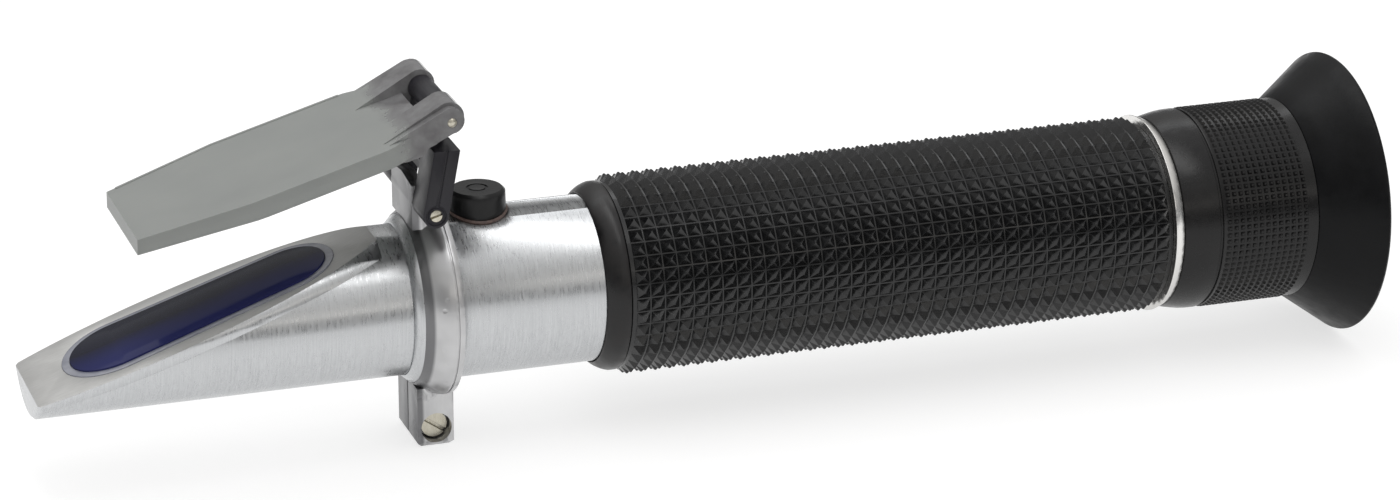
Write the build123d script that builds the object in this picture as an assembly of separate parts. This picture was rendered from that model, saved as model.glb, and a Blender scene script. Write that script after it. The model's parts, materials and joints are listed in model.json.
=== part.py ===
from build123d import *
import math
import os

os.makedirs("parts", exist_ok=True)

# Handheld refractometer, in millimetres.
# The optical axis is the X axis, the nose points to -X and +Z is up.
# The origin is the mouth of the eyepiece bore.

# Lengths along the axis, from the eyepiece to the nose
focus_setback = 0.3
focus_ring_length = 21.3
focus_gap = 0.1
end_ring_length = 1.5
grip_length = 83.9
grip_ring_length = 3.4
bare_tube_length = 21.45
collar_length = 5.25
main_tube_lip = 1.25
nose_length = 53.5
spigot_length = 7.4

# Radii of the tubes
front_radius = 10.9
front_wall = 1.5
main_radius = 12.15
main_bore = 10.95
main_bevel = 1.05
main_bevel_length = 1.15
nose_wall = 1.6
nose_round = 0.4

# Clearances
fit_gap = 0.05
running_gap = 0.05
cap_gap = 0.08

# Turning pieces have their seam lines away from those of the bores they turn in
pin_seam = 180.0
ring_seam = 60.0

# Slanted measuring face, from its height at the nose up to the tube's top line
face_height = -6.57
face_top_setback = 2.39
face_plate_thickness = 1.6
face_plate_margin = 1.0

# Prism window: the low end is measured up the slope from the nose edge,
# and the high end back from where the closed plate's pivot lies
window_low_centre = 13.8
window_low_radius = 7.0
window_high_setback = 7.75
window_high_radius = 6.1
prism_proud = 0.33
seal_width = 1.3
seal_proud = 0.12
prism_half_width = 6.0
prism_end_inset = 1.2
cradle_height = 2.75

# Hinge collar
collar_bevel_radius = 12.3
collar_edge_radius = 13.15
collar_crown_radius = 14.0
collar_band_radius = 14.35
collar_rim_radius = 14.2
collar_groove = 0.25
collar_bevel_length = 1.25
collar_band_length = 4.2
slit_width = 0.5
lug_half_width = 5.5
lug_overhang = 0.1
lug_shoulder_height = 18.8
lug_crest_height = 19.4
lug_rear_radius = 2.0

# Clamp block under the collar
foot_depth = 21.2
block_half_width = 5.3
block_front = 0.32
block_length = 5.35
block_chamfer = 0.6
clamp_axis_inset = 3.1
clamp_axis_height = 2.8
clamp_head_radius = 2.2
clamp_head_length = 2.6
clamp_head_recess = 0.4
clamp_shank_radius = 1.25
clamp_shank_margin = 0.7
clamp_slot_width = 0.6
clamp_slot_depth = 0.8
clamp_slot_angle = -35.0

# Hinge link
link_pivot_inset = 2.0
link_pivot_height = 4.08
link_length = 13.73
link_angle = 79.21
leg_inner = 5.7
leg_outer = 11.7
leg_half_depth = 1.85
leg_height = 9.4
web_radius = 4.4
web_half_thickness = 1.2
neck_half_width = 5.05
barrel_radius = 1.9
link_pin_radius = 0.85
plate_pin_radius = 0.65
pin_slot_width = 0.35
pin_slot_depth = 0.4
leg_groove_width = 0.35
leg_groove_depth = 0.2
leg_ring_radius = 1.45
leg_ring_width = 0.3
rib_pitch = 1.1
rib_depth = 0.25
rib_width = 0.45

# Daylight plate, in its own frame at the plate pin: along the plate, across it, and above it
plate_angle = 16.0
plate_top = 0.24
plate_thickness = 1.5
plate_depth = 2.5
plate_tip_margin = 0.85
plate_tip_rake = 0.65
plate_tip_depth = 1.9
plate_tip_half_width = 10.3
plate_half_width = 13.1
plate_taper_length = 17.0
plate_skirt_start = 18.5
plate_corner_radius = 2.5
plate_shoulder = 8.3
skirt_thickness = 1.2
plate_rim_height = 0.25
plate_rim_width = 0.8
plate_rim_tip_gap = 3.0
plate_rim_rear_gap = 1.5
ear_inner = 5.15
ear_outer = 11.7
ear_lap = 0.7
ear_crest = 0.3
ear_rise = 3.05
ear_tail = 1.85
ear_heel = 1.0
ear_round = 1.5
ear_heel_round = 0.7
ear_toe = 5.2
ear_toe_length = 0.6
notch_depth = 2.9
pad_margin = 1.0
pad_rear_margin = 2.6
closed_gap = 0.07
ear_pocket_length = 1.6
ear_pocket_width = 1.8
ear_pocket_depth = 0.4
ear_pocket_inset = 0.5

# Calibration cap, screw and bush, on top of the tube
cap_setback = 5.95
cap_radius = 4.15
cap_height = 15.6
cap_round = 0.45
cap_draft = 0.1
cap_roof = 1.2
cap_dimple_radius = 1.55
cap_dimple_width = 0.35
cap_dimple_depth = 0.15
bush_flange_radius = 4.35
bush_flange_height = 0.35
bush_radius = 2.6
bush_height = 13.7
bush_bore = 1.75
bush_depth = 9.6
calibration_screw_radius = 1.7
calibration_screw_height = 13.4
calibration_tip_radius = 1.0
calibration_slot_width = 0.5
calibration_slot_depth = 0.7

# Grip
grip_ring_front_radius = 12.4
grip_ring_mid_radius = 13.35
grip_ring_shoulder = 2.4
grip_ring_rear_radius = 13.8
grip_radius = 13.6
grip_peak_height = 0.95
grip_rows = 38
grip_end_margin = 0.6

# Rear end of the tube
end_ring_front_radius = 14.8
end_ring_rear_radius = 14.2
end_ring_spigot = 9.0
end_ring_tail = 8.0
end_ring_tail_radius = 12.4
end_ring_bore = 9.5

# Focus ring
focus_front_radius = 14.2
focus_mid_radius = 14.75
focus_radius = 15.07
focus_mid_offset = 2.1
focus_full_offset = 4.1
focus_groove_offset = 5.4
focus_groove_width = 0.5
focus_groove_depth = 0.3
focus_lip_length = 1.5

# Eyepiece
barrel_length = 35.5
barrel_bore = 8.4
flange_radius = 12.0
flange_length = 6.0
mouth_radius = 9.5
mouth_depth = 4.0
lens_stop_radius = 7.2
lens_stop_offset = 3.5
lens_stop_length = 1.4
field_lens_length = 3.5
eye_lens_length = 3.4
lens_bulge = 1.0
retainer_length = 0.9
spacer_wall = 0.95
keyway_length = 5.0
keyway_depth = 0.5
guide_pin_radius = 0.6
guide_pin_sink = 0.2
guide_pin_offset = 5.0
o_ring_radius = 0.55
o_ring_offset = 6.5

# Eyecup
cup_length = 8.4
cup_rim_length = 0.7
cup_wall = 1.3
cup_base_length = 1.6
cup_base_gap = 0.2

# Optics in the main tube
sleeve_gap = 0.1
sleeve_wall = 1.35
sleeve_lap = 0.5
reticle_thickness = 1.5
reticle_inset = 4.0
ring_length = 1.2
ring_wall = 1.8
strip_width = 4.0
strip_thickness = 0.5
strip_height = 7.3
strip_front_margin = 2.0
strip_length = 26.0
post_offset = 8.0
post_length = 4.0
cell_radius = 7.6
cell_length = 5.0
objective_radius = 6.4
objective_thickness = 2.6
objective_bulge = 0.8

# Stations along the axis
focus_rear_x = -focus_setback
focus_front_x = focus_rear_x - focus_ring_length
end_ring_rear_x = focus_front_x - focus_gap
grip_rear_x = end_ring_rear_x - end_ring_length
grip_seam_x = grip_rear_x - grip_length
grip_front_x = grip_seam_x - grip_ring_length
collar_rear_x = grip_front_x - bare_tube_length
collar_front_x = collar_rear_x - collar_length
main_front_x = collar_front_x - main_tube_lip
nose_x = main_front_x - nose_length
spigot_x = main_front_x + spigot_length
cap_x = collar_rear_x + cap_setback
front_bore = front_radius - front_wall

# The slanted face, and points on it
slope = math.atan2(front_radius - face_height, nose_length - face_top_setback)
face_along = Vector(math.cos(slope), 0, math.sin(slope))
face_normal = Vector(-math.sin(slope), 0, math.cos(slope))
face_corner = Vector(nose_x, 0, face_height)
face_plane = Plane(face_corner, x_dir=face_along, z_dir=face_normal)

# Hinge axes: the link pivot on the collar's lug, and the plate pivot at the link's far end
link_pivot = Vector(collar_front_x + link_pivot_inset, 0, main_radius + link_pivot_height)
link_lean = math.radians(link_angle)
link_along = Vector(math.cos(link_lean), 0, math.sin(link_lean))
link_across = Vector(math.sin(link_lean), 0, -math.cos(link_lean))
plate_pivot = link_pivot + link_along * link_length
plate_lean = math.radians(plate_angle)
plate_plane = Plane(
    plate_pivot,
    x_dir=(math.cos(plate_lean), 0, math.sin(plate_lean)),
    z_dir=(-math.sin(plate_lean), 0, math.cos(plate_lean)),
)

# Where the plate pivot lies over the slanted face when the plate is closed
closed_pivot_height = prism_proud + closed_gap + plate_depth
link_pivot_from_corner = link_pivot - face_corner
link_pivot_rise = link_pivot_from_corner.dot(face_normal) - closed_pivot_height
closed_pivot_run = link_pivot_from_corner.dot(face_along) - math.sqrt(link_length**2 - link_pivot_rise**2)
window_high_centre = closed_pivot_run - window_high_setback
plate_reach = closed_pivot_run - plate_tip_margin

# A side view's plane: local x is +X, local y is +Z
side_view = Plane((0, 0, 0), x_dir=(1, 0, 0), z_dir=(0, -1, 0))


def turned(points):
    """Solid of revolution about the optical axis from (x, radius) points."""
    corners = [(x, 0, radius) for x, radius in points]
    return revolve(make_face(Polyline(*corners, close=True)), axis=Axis.X)


def rod(radius, x0, x1):
    """Cylinder on the optical axis."""
    return turned([(x0, 0), (x0, radius), (x1, radius), (x1, 0)])


def tube(outer, inner, x0, x1):
    """Plain tube on the optical axis."""
    return turned([(x0, inner), (x0, outer), (x1, outer), (x1, inner)])


def upright(radius, x, z0, z1):
    """Cylinder that stands on z0 at the station x."""
    return Pos(x, 0, z0) * Cylinder(radius, z1 - z0, align=(Align.CENTER, Align.CENTER, Align.MIN))


def cross_rod(radius, centre, y0, y1, seam=0):
    """Cylinder along Y through the XZ place of a point, with its seam line at an angle from +X."""
    disc = side_view * Pos(centre.X, centre.Z) * Rot(0, 0, seam) * Circle(radius)
    return Pos(0, y1, 0) * extrude(disc, y1 - y0)


def side_prism(profile, y0, y1):
    """Side view profile made solid between two values of y."""
    return Pos(0, y1, 0) * extrude(side_view * profile, y1 - y0)


def polygon(points):
    """Closed flat shape from its corners."""
    return make_face(Polyline(*points, close=True))


def block(x0, x1, y0, y1, z0, z1):
    """Box between two corners."""
    return Pos(x0, y0, z0) * Box(x1 - x0, y1 - y0, z1 - z0, align=(Align.MIN, Align.MIN, Align.MIN))


def tapered_slot(low, low_radius, high, high_radius):
    """Flat shape around two circles of different size, along the local x axis."""
    tilt = math.acos((low_radius - high_radius) / (high - low))
    low_x = low + low_radius * math.cos(tilt)
    low_y = low_radius * math.sin(tilt)
    high_x = high + high_radius * math.cos(tilt)
    high_y = high_radius * math.sin(tilt)
    outline = [
        ThreePointArc((low_x, low_y), (low - low_radius, 0), (low_x, -low_y)),
        Line((low_x, -low_y), (high_x, -high_y)),
        ThreePointArc((high_x, -high_y), (high + high_radius, 0), (high_x, high_y)),
        Line((high_x, high_y), (low_x, low_y)),
    ]
    return make_face(outline)


def window(grow, n0, n1):
    """Prism window outline grown by a margin, between two heights over the slanted face."""
    outline = tapered_slot(
        window_low_centre,
        window_low_radius + grow,
        window_high_centre,
        window_high_radius + grow,
    )
    return face_plane * Pos(0, 0, n0) * extrude(outline, n1 - n0)


def face_slab(n0, n1, reach):
    """Slab along the slanted face, wider than the tube."""
    margin = 2 * front_radius
    start = -margin
    return (
        face_plane
        * Pos(start, 0, n0)
        * Box(reach + margin, 2 * margin, n1 - n0, align=(Align.MIN, Align.CENTER, Align.MIN))
    )


# The face plate is a slice of the nose tube's own cylinder, and ends just short of where the slope leaves it
face_plate_length = (front_radius - face_height) / math.sin(slope) - face_plate_margin
plate_end_x = (face_corner + face_along * face_plate_length).X


def nose_blank(end_x):
    """Solid nose cylinder with a slightly rounded front edge."""
    return turned(
        [
            (nose_x, 0),
            (nose_x, front_radius - nose_round),
            (nose_x + nose_round, front_radius),
            (end_x, front_radius),
            (end_x, 0),
        ]
    )


def front_tube():
    """Nose tube, cut on a slant, closed in front and bored from behind."""
    seat = nose_blank(plate_end_x) & face_slab(-face_plate_thickness, 0, 2 * nose_length)
    above = face_slab(0, 4 * front_radius, 2 * nose_length)
    bore = rod(front_bore, nose_x + nose_wall, spigot_x)
    return nose_blank(spigot_x) - above - seat - bore


def prism_frame():
    """Face plate over the slanted cut, with the window for prism and seal."""
    plate = nose_blank(plate_end_x) & face_slab(-face_plate_thickness, 0, 2 * nose_length)
    opening = window(seal_width, -2 * face_plate_thickness, face_plate_thickness)
    return plate - opening


def prism_seal():
    """Pale lip between the prism and its frame."""
    outer = window(seal_width - fit_gap, -face_plate_thickness, seal_proud)
    inner = window(fit_gap, -2 * face_plate_thickness, face_plate_thickness)
    return outer - inner


prism_floor = -(front_bore - cradle_height)
prism_front = face_corner + face_along * (window_low_centre - window_low_radius + prism_end_inset)
prism_rear = face_corner + face_along * (window_high_centre + window_high_radius - prism_end_inset)


def prism():
    """Measuring prism: the window in the slanted face on a wedge with an upright rear face."""
    drop = face_normal * (face_plate_thickness + fit_gap)
    front_top = prism_front - drop
    rear_top = prism_rear - drop
    wedge = polygon(
        [
            (front_top.X, front_top.Z),
            (rear_top.X, rear_top.Z),
            (rear_top.X, prism_floor),
            (front_top.X, prism_floor),
        ]
    )
    head = window(0, -face_plate_thickness - fit_gap, prism_proud)
    return head + side_prism(wedge, -prism_half_width, prism_half_width)


def prism_cradle():
    """Bed under the prism, round below and flat above."""
    bed = rod(front_bore - fit_gap, prism_front.X, prism_rear.X)
    above = block(
        prism_front.X - 1,
        prism_rear.X + 1,
        -front_radius,
        front_radius,
        prism_floor - fit_gap,
        front_radius,
    )
    return bed - above


def main_tube():
    """Main tube with a bevelled front end and the hole for the calibration bush."""
    shell = turned(
        [
            (main_front_x, main_bore),
            (main_front_x, main_radius - main_bevel),
            (main_front_x + main_bevel_length, main_radius),
            (grip_rear_x, main_radius),
            (grip_rear_x, main_bore),
        ]
    )
    return shell - upright(bush_radius + fit_gap, cap_x, 0, 2 * main_radius)


clamp_axis = Vector(collar_front_x + clamp_axis_inset, 0, -foot_depth + clamp_axis_height)


def collar_ring():
    """Turned ring: front bevel, crowned band, fine groove and rim."""
    band_x = collar_front_x + collar_band_length
    bevel_x = collar_front_x + collar_bevel_length
    crown_x = (bevel_x + band_x) / 2
    inner = main_radius / 2
    outline = [
        Polyline(
            (collar_front_x, 0, inner),
            (collar_front_x, 0, collar_bevel_radius),
            (bevel_x, 0, collar_edge_radius),
        ),
        ThreePointArc(
            (bevel_x, 0, collar_edge_radius),
            (crown_x, 0, collar_crown_radius),
            (band_x, 0, collar_band_radius),
        ),
        Polyline(
            (band_x, 0, collar_band_radius),
            (band_x, 0, collar_band_radius - collar_groove),
            (band_x + collar_groove, 0, collar_band_radius - collar_groove),
            (band_x + collar_groove, 0, collar_band_radius),
            (collar_rear_x, 0, collar_rim_radius),
            (collar_rear_x, 0, inner),
            (collar_front_x, 0, inner),
        ),
    ]
    return revolve(make_face(outline), axis=Axis.X)


def lug():
    """Hinge lug: upright front, gabled crest, rounded back around the pin."""
    front = collar_front_x + lug_overhang
    root = main_radius
    rear = link_pivot.X + lug_rear_radius
    side = polygon([(front, root), (front, lug_crest_height), (link_pivot.X, lug_crest_height), (rear, root)])
    side += Pos(link_pivot.X, link_pivot.Z) * Circle(lug_rear_radius)
    slope_cut = polygon(
        [
            (link_pivot.X, lug_crest_height),
            (rear + 1, lug_crest_height),
            (rear + 1, link_pivot.Z),
            (rear, link_pivot.Z),
        ]
    )
    solid = side_prism(side - slope_cut, -lug_half_width, lug_half_width)
    gable = Plane.YZ * polygon(
        [
            (-lug_half_width, root - 1),
            (-lug_half_width, lug_shoulder_height),
            (0, lug_crest_height),
            (lug_half_width, lug_shoulder_height),
            (lug_half_width, root - 1),
        ]
    )
    return solid & (Pos(front - 1, 0, 0) * extrude(gable, rear - front + 3))


def clamp_block():
    """Block under the ring, with chamfered lower edges."""
    front = collar_front_x + block_front
    rear = front + block_length
    side = polygon(
        [
            (front, -main_radius),
            (rear, -main_radius),
            (rear, -foot_depth + block_chamfer),
            (rear - block_chamfer, -foot_depth),
            (front + block_chamfer, -foot_depth),
            (front, -foot_depth + block_chamfer),
        ]
    )
    solid = side_prism(side, -block_half_width, block_half_width)
    end = Plane.YZ * polygon(
        [
            (-block_half_width, -main_radius + 1),
            (-block_half_width, -foot_depth + block_chamfer),
            (-block_half_width + block_chamfer, -foot_depth),
            (block_half_width - block_chamfer, -foot_depth),
            (block_half_width, -foot_depth + block_chamfer),
            (block_half_width, -main_radius + 1),
        ]
    )
    return solid & (Pos(front - 1, 0, 0) * extrude(end, block_length + 2))


def hinge_collar():
    """Split clamp collar with the hinge lug above and the clamp block below."""
    body = collar_ring() + lug() + clamp_block()
    body -= rod(main_radius + fit_gap, collar_front_x - 5, collar_rear_x + 5)
    body -= cross_rod(link_pin_radius + running_gap, link_pivot, -leg_outer, leg_outer)
    body -= block(
        collar_front_x - 5,
        collar_rear_x + 5,
        -slit_width / 2,
        slit_width / 2,
        -2 * foot_depth,
        -main_radius / 2,
    )
    head_seat_y = -block_half_width + clamp_head_recess + clamp_head_length
    shank_end_y = block_half_width - clamp_shank_margin
    body -= cross_rod(clamp_head_radius + fit_gap, clamp_axis, -2 * block_half_width, head_seat_y)
    body -= cross_rod(clamp_shank_radius + fit_gap, clamp_axis, 0, shank_end_y)
    body -= cross_rod(clamp_shank_radius + fit_gap, clamp_axis, head_seat_y - 1, 0)
    return body


def clamp_screw():
    """Slotted screw that closes the split block."""
    head_y = -block_half_width + clamp_head_recess
    seat_y = head_y + clamp_head_length
    end_y = block_half_width - clamp_shank_margin - fit_gap
    screw = cross_rod(clamp_head_radius, clamp_axis, head_y, seat_y - fit_gap)
    screw += cross_rod(clamp_shank_radius, clamp_axis, seat_y - fit_gap, end_y)
    slot = Box(3 * clamp_head_radius, 2 * clamp_slot_depth, clamp_slot_width)
    return screw - Pos(clamp_axis.X, head_y, clamp_axis.Z) * Rot(0, -clamp_slot_angle, 0) * slot


def link_point(along, across):
    """Side view place in the link's own directions, from the link pivot."""
    place = link_pivot + link_along * along + link_across * across
    return (place.X, place.Z)


def link_strip(start, end, half):
    """Side view strip along the link."""
    return polygon(
        [
            link_point(start, -half),
            link_point(start, half),
            link_point(end, half),
            link_point(end, -half),
        ]
    )


leg_top_z = link_pivot.Z + leg_height


def below_leg_top(profile):
    """Side view profile without what is higher than the legs' flat tops."""
    reach = 2 * link_length
    cover = polygon(
        [
            (link_pivot.X - reach, leg_top_z),
            (link_pivot.X + reach, leg_top_z),
            (link_pivot.X + reach, leg_top_z + reach),
            (link_pivot.X - reach, leg_top_z + reach),
        ]
    )
    return profile - cover


def hinge_link():
    """U-shaped link: two legs, a thinner ribbed web, and the neck and barrel of the upper pivot."""
    leg = link_strip(0, link_length, leg_half_depth)
    leg += Pos(link_pivot.X, link_pivot.Z) * Circle(leg_half_depth)
    leg = below_leg_top(leg)
    web = below_leg_top(link_strip(web_radius, link_length, web_half_thickness))
    neck = link_strip(web_radius, link_length, web_half_thickness)
    link = side_prism(web, -leg_inner, leg_inner)
    link += side_prism(neck, -neck_half_width, neck_half_width)
    link += cross_rod(barrel_radius, plate_pivot, -neck_half_width, neck_half_width)
    for side in (-1, 1):
        y0, y1 = sorted((side * leg_inner, side * leg_outer))
        link += side_prism(leg, y0, y1)
    for row in range(3):
        height = web_radius + (row + 1) * rib_pitch
        rib = link_strip(height, height + rib_width, web_half_thickness + rib_depth)
        link += side_prism(below_leg_top(rib), -leg_inner, leg_inner)
    link -= cross_rod(link_pin_radius + fit_gap, link_pivot, -2 * leg_outer, 2 * leg_outer)
    link -= cross_rod(plate_pin_radius + running_gap, plate_pivot, -leg_outer, leg_outer)
    for side in (-1, 1):
        y0, y1 = sorted((side * (leg_outer - leg_groove_depth), side * 2 * leg_outer))
        mark = cross_rod(leg_ring_radius, link_pivot, y0, y1)
        mark -= cross_rod(leg_ring_radius - leg_ring_width, link_pivot, y0 - 1, y1 + 1)
        groove = link_strip(leg_ring_radius - leg_ring_width / 2, link_length, leg_groove_width / 2)
        link -= mark
        link -= side_prism(groove, y0, y1)
    return link


def slotted_pin(radius, centre, half_length, slot_angle):
    """Pin with a screwdriver slot in each end."""
    pin = cross_rod(radius, centre, -half_length, half_length, pin_seam)
    slot = Box(3 * radius, 2 * pin_slot_depth, pin_slot_width)
    for side in (-1, 1):
        pin -= Pos(centre.X, side * half_length, centre.Z) * Rot(0, slot_angle, 0) * slot
    return pin


def link_pin():
    """Pin through the lug and both legs."""
    return slotted_pin(link_pin_radius, link_pivot, leg_outer, -18.0)


def plate_pin():
    """Pin through the plate's ears and the link's barrel."""
    return cross_rod(plate_pin_radius, plate_pivot, -ear_outer, ear_outer, pin_seam)


# Plate outline, from its tip to the shoulders in front of the ears
tip_u = -plate_reach - plate_tip_rake
taper_u = tip_u + plate_taper_length
shoulder_u = -plate_shoulder
rear_u = -notch_depth


def plate_outline(inset, rear):
    """Plan view of the plate, drawn in by an inset."""
    corners = [
        (tip_u + inset, -plate_tip_half_width + inset),
        (taper_u, -plate_half_width + inset),
        (shoulder_u, -plate_half_width + inset),
        (shoulder_u, -ear_outer),
        (rear, -ear_outer),
        (rear, ear_outer),
        (shoulder_u, ear_outer),
        (shoulder_u, plate_half_width - inset),
        (taper_u, plate_half_width - inset),
        (tip_u + inset, plate_tip_half_width - inset),
    ]
    outline = polygon(corners)
    tip_corners = outline.vertices().sort_by(Axis.X)[:2]
    return fillet(tip_corners, plate_corner_radius - inset / 2)


def plate_block(u0, u1, y0, y1, n0, n1):
    """Box in the plate's own frame."""
    return plate_plane * block(u0, u1, y0, y1, n0, n1)


def ear_profile():
    """Side view of an ear in the plate's own frame: a rising back, a rounded tail and a sloping sole."""
    lap = shoulder_u - ear_lap
    underside = plate_top - plate_thickness
    toe = -ear_toe - ear_toe_length
    corners = [
        (lap, plate_top),
        (ear_crest, ear_rise),
        (ear_tail, ear_rise),
        (ear_tail, -ear_heel),
        (-ear_toe, -plate_depth),
        (toe, -plate_depth),
        (toe - ear_toe_length, underside),
        (lap, underside),
    ]
    profile = polygon(corners)
    rear = profile.vertices().sort_by(Axis.X)[-2:].sort_by(Axis.Y)
    profile = fillet(rear[-1], ear_round)
    rear = profile.vertices().sort_by(Axis.X)[-2:].sort_by(Axis.Y)
    return fillet(rear[0], ear_heel_round)


def plate_side_prism(profile, y0, y1):
    """Profile in the plate's own side view, made solid between two values of y."""
    view = Plane(plate_pivot, x_dir=plate_plane.x_dir, z_dir=(0, -1, 0))
    return Pos(0, y1, 0) * extrude(view * profile, y1 - y0)


def plate_pad():
    """Raised pad under the plate that spreads the drop over the prism."""
    low = window_low_centre - closed_pivot_run
    high = window_high_centre - pad_rear_margin - closed_pivot_run
    outline = tapered_slot(low, window_low_radius - pad_margin, high, window_high_radius - pad_margin)
    depth = plate_depth - (plate_thickness - plate_top)
    return plate_plane * Pos(0, 0, -plate_depth) * extrude(outline, depth)


def daylight_plate():
    """Frosted cover plate with skirts, side rims, pad and two ears around an open notch."""
    height = plate_top + plate_depth
    plate = plate_plane * Pos(0, 0, -plate_depth) * extrude(plate_outline(0, rear_u), height)
    pocket_outline = plate_outline(skirt_thickness, rear_u + 1)
    pocket_height = plate_depth - plate_thickness + plate_top
    plate -= plate_plane * Pos(0, 0, -plate_depth) * extrude(pocket_outline, pocket_height)
    tip_bottom = polygon(
        [
            (tip_u - 1, -plate_tip_depth),
            (tip_u + plate_skirt_start, -plate_depth),
            (tip_u + plate_skirt_start, -2 * plate_depth),
            (tip_u - 1, -2 * plate_depth),
        ]
    )
    tip_rake = polygon(
        [
            (-plate_reach, plate_top),
            (tip_u, -plate_tip_depth),
            (tip_u, -plate_depth),
            (tip_u - 1, -plate_depth),
            (tip_u - 1, plate_top),
        ]
    )
    plate -= plate_side_prism(tip_bottom, -plate_half_width, plate_half_width)
    plate -= plate_side_prism(tip_rake, -plate_half_width, plate_half_width)
    plate += plate_pad()
    rim = extrude(plate_outline(0, rear_u) - plate_outline(plate_rim_width, rear_u), plate_rim_height)
    rim = plate_plane * Pos(0, 0, plate_top) * rim
    reach = 2 * plate_half_width
    rim -= plate_block(tip_u - 1, tip_u + plate_rim_tip_gap, -reach, reach, 0, reach)
    rim -= plate_block(shoulder_u - plate_rim_rear_gap, reach, -reach, reach, 0, reach)
    plate += rim
    for side in (-1, 1):
        y0, y1 = sorted((side * ear_inner, side * ear_outer))
        plate += plate_side_prism(ear_profile(), y0, y1)
        mark_outer = side * (ear_outer - ear_pocket_inset)
        mark_inner = side * (ear_outer - ear_pocket_inset - ear_pocket_width)
        m0, m1 = sorted((mark_outer, mark_inner))
        half = ear_pocket_length / 2
        plate -= plate_block(-half, half, m0, m1, ear_rise - ear_pocket_depth, 2 * ear_rise)
    plate -= cross_rod(plate_pin_radius + fit_gap, plate_pivot, -2 * ear_outer, 2 * ear_outer)
    return plate


cap_cavity_top = cap_height - cap_roof


def calibration_cap():
    """Rubber button, saddle-cut to the tube, with a shallow ring on top."""
    base = main_radius - 1
    outline = [
        (0, base),
        (cap_radius, base),
        (cap_radius - cap_draft, cap_height - cap_round),
        (cap_radius - cap_draft - cap_round, cap_height),
        (0, cap_height),
    ]
    profile = polygon([(x, 0, z) for x, z in outline])
    cap = Pos(cap_x, 0, 0) * revolve(profile, axis=Axis.Z)
    cap -= upright(bush_radius + cap_gap, cap_x, 0, cap_cavity_top)
    cap -= rod(main_radius + 2 * fit_gap + bush_flange_height, cap_x - 2 * cap_radius, cap_x + 2 * cap_radius)
    ring = upright(cap_dimple_radius, cap_x, cap_height - cap_dimple_depth, cap_height + 1)
    ring -= upright(cap_dimple_radius - cap_dimple_width, cap_x, cap_height - 1, cap_height + 1)
    return cap - ring


def calibration_bush():
    """Threaded bush in the tube's wall, with a thin saddle flange."""
    reach = 2 * bush_flange_radius
    flange = upright(bush_flange_radius, cap_x, 0, 2 * main_radius)
    flange &= rod(main_radius + fit_gap + bush_flange_height, cap_x - reach, cap_x + reach)
    flange -= rod(main_radius + fit_gap, cap_x - reach, cap_x + reach)
    bush = flange + upright(bush_radius, cap_x, bush_depth, bush_height)
    return bush - upright(bush_bore, cap_x, 0, 2 * main_radius)


def calibration_screw():
    """Slotted grub screw whose tip bears on the compensator strip."""
    tip_z = strip_height + strip_thickness + fit_gap
    screw = upright(calibration_screw_radius, cap_x, bush_depth, calibration_screw_height)
    screw += upright(calibration_tip_radius, cap_x, tip_z, bush_depth)
    slot = Box(3 * calibration_screw_radius, calibration_slot_width, 2 * calibration_slot_depth)
    return screw - Pos(cap_x, 0, calibration_screw_height) * slot


def grip_ring():
    """Smooth ring at the front of the grip."""
    inner = main_radius + fit_gap
    outline = [
        Polyline(
            (grip_front_x, 0, inner),
            (grip_front_x, 0, grip_ring_front_radius),
        ),
        ThreePointArc(
            (grip_front_x, 0, grip_ring_front_radius),
            (grip_front_x + grip_ring_shoulder / 2, 0, grip_ring_mid_radius),
            (grip_front_x + grip_ring_shoulder, 0, grip_ring_rear_radius),
        ),
        Polyline(
            (grip_front_x + grip_ring_shoulder, 0, grip_ring_rear_radius),
            (grip_seam_x - fit_gap, 0, grip_ring_rear_radius),
            (grip_seam_x - fit_gap, 0, inner),
            (grip_front_x, 0, inner),
        ),
    ]
    return revolve(make_face(outline), axis=Axis.X)


def grip_sleeve():
    """Rubber sleeve with rows of ridges."""
    pitch = (grip_length - 2 * grip_end_margin) / grip_rows
    start = grip_seam_x + grip_end_margin
    points = [(grip_seam_x, main_radius + fit_gap), (grip_seam_x, grip_radius), (start, grip_radius)]
    for row in range(grip_rows):
        points.append((start + (row + 0.5) * pitch, grip_radius + grip_peak_height))
        points.append((start + (row + 1) * pitch, grip_radius))
    points.append((grip_rear_x, grip_radius))
    points.append((grip_rear_x, main_radius + fit_gap))
    return turned(points)


guide_pin_x = end_ring_rear_x + guide_pin_offset
o_ring_x = end_ring_rear_x - o_ring_offset


def tube_end_ring():
    """Bright end ring: spigot in the tube, visible flange, and the tail that carries the focus ring."""
    ring = turned(
        [
            (grip_rear_x - end_ring_spigot, end_ring_bore),
            (grip_rear_x - end_ring_spigot, main_bore - fit_gap),
            (grip_rear_x, main_bore - fit_gap),
            (grip_rear_x, end_ring_front_radius),
            (end_ring_rear_x, end_ring_rear_radius),
            (end_ring_rear_x, end_ring_tail_radius),
            (end_ring_rear_x + end_ring_tail, end_ring_tail_radius),
            (end_ring_rear_x + end_ring_tail, end_ring_bore),
        ]
    )
    ring -= upright(guide_pin_radius + fit_gap, guide_pin_x, 0, 2 * main_radius)
    seat = tube(end_ring_bore + o_ring_radius, end_ring_bore / 2, o_ring_x - o_ring_radius, o_ring_x + o_ring_radius)
    return ring - seat


def guide_pin():
    """Pin from the end ring's tail into the barrel's keyway."""
    tip = end_ring_bore - keyway_depth
    return upright(guide_pin_radius, guide_pin_x, tip, end_ring_tail_radius - guide_pin_sink)


def o_ring():
    """Soft ring that gives the eyepiece its smooth drag."""
    outer = end_ring_bore + o_ring_radius - fit_gap
    inner = end_ring_bore - running_gap / 2
    half = o_ring_radius - fit_gap
    return tube(outer, inner, o_ring_x - half, o_ring_x + half)


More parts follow.
